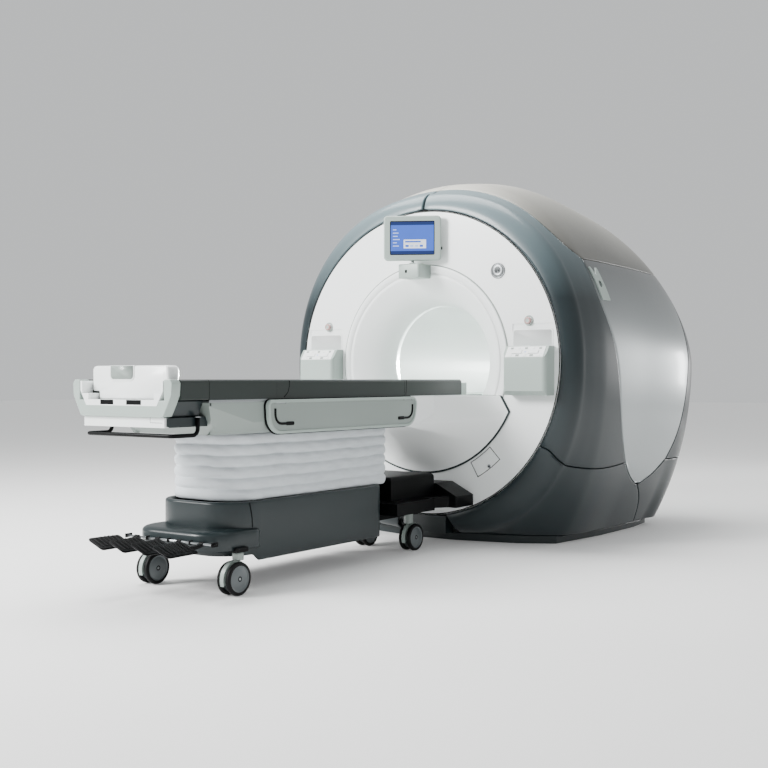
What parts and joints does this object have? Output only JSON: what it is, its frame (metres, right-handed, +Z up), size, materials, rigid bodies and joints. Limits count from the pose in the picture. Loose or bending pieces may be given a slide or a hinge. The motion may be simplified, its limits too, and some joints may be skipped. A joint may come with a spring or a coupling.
{
  "type": "mri scanner",
  "caption": "Whole-body tunnel scanner with rounded covers, a flared bore, a bridge and a detachable rising table with sliding cradle, bellows lift, pedals and casters.",
  "frame": {"origin": "on the floor under the middle of the magnet", "axes": "+Z up, +Y along the bore from the patient's end to the service end, +X to the right of a person facing the bore"},
  "size_m": [2.1697, 4.15, 2.2264],
  "materials": {
    "silver": "satin",
    "slate": "gloss",
    "warm_white": "satin",
    "white": "satin",
    "pale": "satin",
    "mid_gray": "satin",
    "rail_gray": "satin",
    "dark_gray": "satin",
    "dark_metal": "satin",
    "steel": "satin",
    "copper": "satin",
    "bellows_white": "matte",
    "key_white": "satin",
    "stop_red": "satin",
    "tyre": "matte",
    "vessel_steel": "satin"
  },
  "bodies": {
    "magnet": {"plinth": "dark_metal", "vacuum_vessel": "vessel_steel", "magnet_coils": "copper", "gradient_coil": "pale", "cold_head": "steel", "bore_liner": "white", "bore_funnel": "white", "front_disc": "white", "rear_disc": "white", "ring_cover_right": "slate", "ring_cover_left": "slate", "lower_cover_right": "slate", "lower_cover_left": "slate", "side_panel_right": "silver", "side_panel_left": "silver", "top_cover_right": "warm_white", "top_cover_left": "warm_white", "rear_cover_right": "slate", "rear_cover_left": "slate", "rear_skirt_right": "slate", "rear_skirt_left": "slate", "control_pod_right": "mid_gray", "control_pod_left": "mid_gray", "cover_hooks": "pale", "bridge_shell": "white", "bridge_rails": "rail_gray", "display_mount": "dark_gray", "dock_receiver": "dark_gray"},
    "display_head": {"display": "pale"},
    "door": {"access_door": "pale"},
    "stop_right": {"stop_button_right": "stop_red"},
    "stop_left": {"stop_button_left": "stop_red"},
    "up_key_right_body": {"up_key_right": "key_white"},
    "down_key_right_body": {"down_key_right": "key_white"},
    "up_key_left_body": {"up_key_left": "key_white"},
    "down_key_left_body": {"down_key_left": "key_white"},
    "cart": {"cart_chassis": "dark_metal", "base_cover": "dark_gray", "dock_block": "dark_gray", "bellows": "bellows_white"},
    "brake_pedal_body": {"brake_pedal": "dark_gray"},
    "dock_pedal_body": {"dock_pedal": "dark_gray"},
    "raise_pedal_body": {"raise_pedal": "dark_gray"},
    "lower_pedal_body": {"lower_pedal": "dark_gray"},
    "foot_caster_right": {"foot_caster_right_fork": "dark_metal"},
    "foot_wheels_right": {"foot_caster_right_wheels": "tyre"},
    "foot_caster_left": {"foot_caster_left_fork": "dark_metal"},
    "foot_wheels_left": {"foot_caster_left_wheels": "tyre"},
    "dock_caster_right": {"dock_caster_right_fork": "dark_metal"},
    "dock_wheels_right": {"dock_caster_right_wheels": "tyre"},
    "dock_caster_left": {"dock_caster_left_fork": "dark_metal"},
    "dock_wheels_left": {"dock_caster_left_wheels": "tyre"},
    "lift": {"lift_column": "dark_metal", "table_body": "mid_gray", "table_rails": "rail_gray", "push_handle": "dark_gray", "foot_shell": "pale"},
    "arm_right": {"arm_board_right": "pale"},
    "arm_left": {"arm_board_left": "pale"},
    "cradle_body": {"cradle": "pale"}
  },
  "joints": [
    {"name": "display_pan", "type": "hinge", "parent": "magnet", "child": "display_head", "pos_m": [0, -1.012, 1.79], "axis": [0, 0, 1], "range_deg": [-62, 2]},
    {"name": "access_door_swing", "type": "hinge", "parent": "magnet", "child": "door", "pos_m": [0.492, -0.9, 0.54], "axis": [-0.6871, 0, 0.7266], "range_deg": [0, 100]},
    {"name": "stop_press_right", "type": "slide", "parent": "magnet", "child": "stop_right", "axis": [0, 1, 0], "range_m": [0, 0.006], "stiffness_N_per_m": 800, "springref_m": -0.003},
    {"name": "stop_press_left", "type": "slide", "parent": "magnet", "child": "stop_left", "axis": [0, 1, 0], "range_m": [0, 0.006], "stiffness_N_per_m": 800, "springref_m": -0.003},
    {"name": "up_key_press_right", "type": "slide", "parent": "magnet", "child": "up_key_right_body", "axis": [0, 0.817, -0.5767], "range_m": [0, 0.003], "stiffness_N_per_m": 400, "springref_m": -0.003},
    {"name": "down_key_press_right", "type": "slide", "parent": "magnet", "child": "down_key_right_body", "axis": [0, 0.817, -0.5767], "range_m": [0, 0.003], "stiffness_N_per_m": 400, "springref_m": -0.003},
    {"name": "up_key_press_left", "type": "slide", "parent": "magnet", "child": "up_key_left_body", "axis": [0, 0.817, -0.5767], "range_m": [0, 0.003], "stiffness_N_per_m": 400, "springref_m": -0.003},
    {"name": "down_key_press_left", "type": "slide", "parent": "magnet", "child": "down_key_left_body", "axis": [0, 0.817, -0.5767], "range_m": [0, 0.003], "stiffness_N_per_m": 400, "springref_m": -0.003},
    {"name": "table_undock", "type": "slide", "parent": "magnet", "child": "cart", "axis": [0, -1, 0], "range_m": [0, 1.5]},
    {"name": "brake_pedal_press", "type": "hinge", "parent": "cart", "child": "brake_pedal_body", "pos_m": [-0.204, -2.969, 0.241], "axis": [1, 0, 0], "range_deg": [0, 12], "stiffness_Nm_per_rad": 40, "springref_deg": -5.73},
    {"name": "dock_pedal_press", "type": "hinge", "parent": "cart", "child": "dock_pedal_body", "pos_m": [-0.068, -2.969, 0.241], "axis": [1, 0, 0], "range_deg": [0, 12], "stiffness_Nm_per_rad": 40, "springref_deg": -5.73},
    {"name": "raise_pedal_press", "type": "hinge", "parent": "cart", "child": "raise_pedal_body", "pos_m": [0.068, -2.969, 0.241], "axis": [1, 0, 0], "range_deg": [0, 12], "stiffness_Nm_per_rad": 40, "springref_deg": -5.73},
    {"name": "lower_pedal_press", "type": "hinge", "parent": "cart", "child": "lower_pedal_body", "pos_m": [0.204, -2.969, 0.241], "axis": [1, 0, 0], "range_deg": [0, 12], "stiffness_Nm_per_rad": 40, "springref_deg": -5.73},
    {"name": "foot_swivel_right", "type": "hinge", "parent": "cart", "child": "foot_caster_right", "pos_m": [0.258, -2.795, 0.17], "axis": [0, 0, 1], "continuous": true},
    {"name": "foot_roll_right", "type": "hinge", "parent": "foot_caster_right", "child": "foot_wheels_right", "pos_m": [0.258, -2.821, 0.075], "axis": [1, 0, 0], "continuous": true},
    {"name": "foot_swivel_left", "type": "hinge", "parent": "cart", "child": "foot_caster_left", "pos_m": [-0.258, -2.795, 0.17], "axis": [0, 0, 1], "continuous": true},
    {"name": "foot_roll_left", "type": "hinge", "parent": "foot_caster_left", "child": "foot_wheels_left", "pos_m": [-0.258, -2.821, 0.075], "axis": [1, 0, 0], "continuous": true},
    {"name": "dock_swivel_right", "type": "hinge", "parent": "cart", "child": "dock_caster_right", "pos_m": [0.157, -1.286, 0.17], "axis": [0, 0, 1], "continuous": true},
    {"name": "dock_roll_right", "type": "hinge", "parent": "dock_caster_right", "child": "dock_wheels_right", "pos_m": [0.157, -1.26, 0.075], "axis": [1, 0, 0], "continuous": true},
    {"name": "dock_swivel_left", "type": "hinge", "parent": "cart", "child": "dock_caster_left", "pos_m": [-0.157, -1.286, 0.17], "axis": [0, 0, 1], "continuous": true},
    {"name": "dock_roll_left", "type": "hinge", "parent": "dock_caster_left", "child": "dock_wheels_left", "pos_m": [-0.157, -1.26, 0.075], "axis": [1, 0, 0], "continuous": true},
    {"name": "table_lift", "type": "slide", "parent": "cart", "child": "lift", "axis": [0, 0, 1], "range_m": [-0.25, 0], "deforming": ["bellows"]},
    {"name": "cradle_slide", "type": "slide", "parent": "lift", "child": "cradle_body", "axis": [0, 1, 0], "range_m": [0, 1.9]},
    {"name": "arm_board_swing_right", "type": "hinge", "parent": "lift", "child": "arm_right", "pos_m": [0.327, -2.07, 0.857], "axis": [0, -1, 0], "range_deg": [0, 90]},
    {"name": "arm_board_swing_left", "type": "hinge", "parent": "lift", "child": "arm_left", "pos_m": [-0.327, -2.07, 0.857], "axis": [0, 1, 0], "range_deg": [0, 90]}
  ]
}
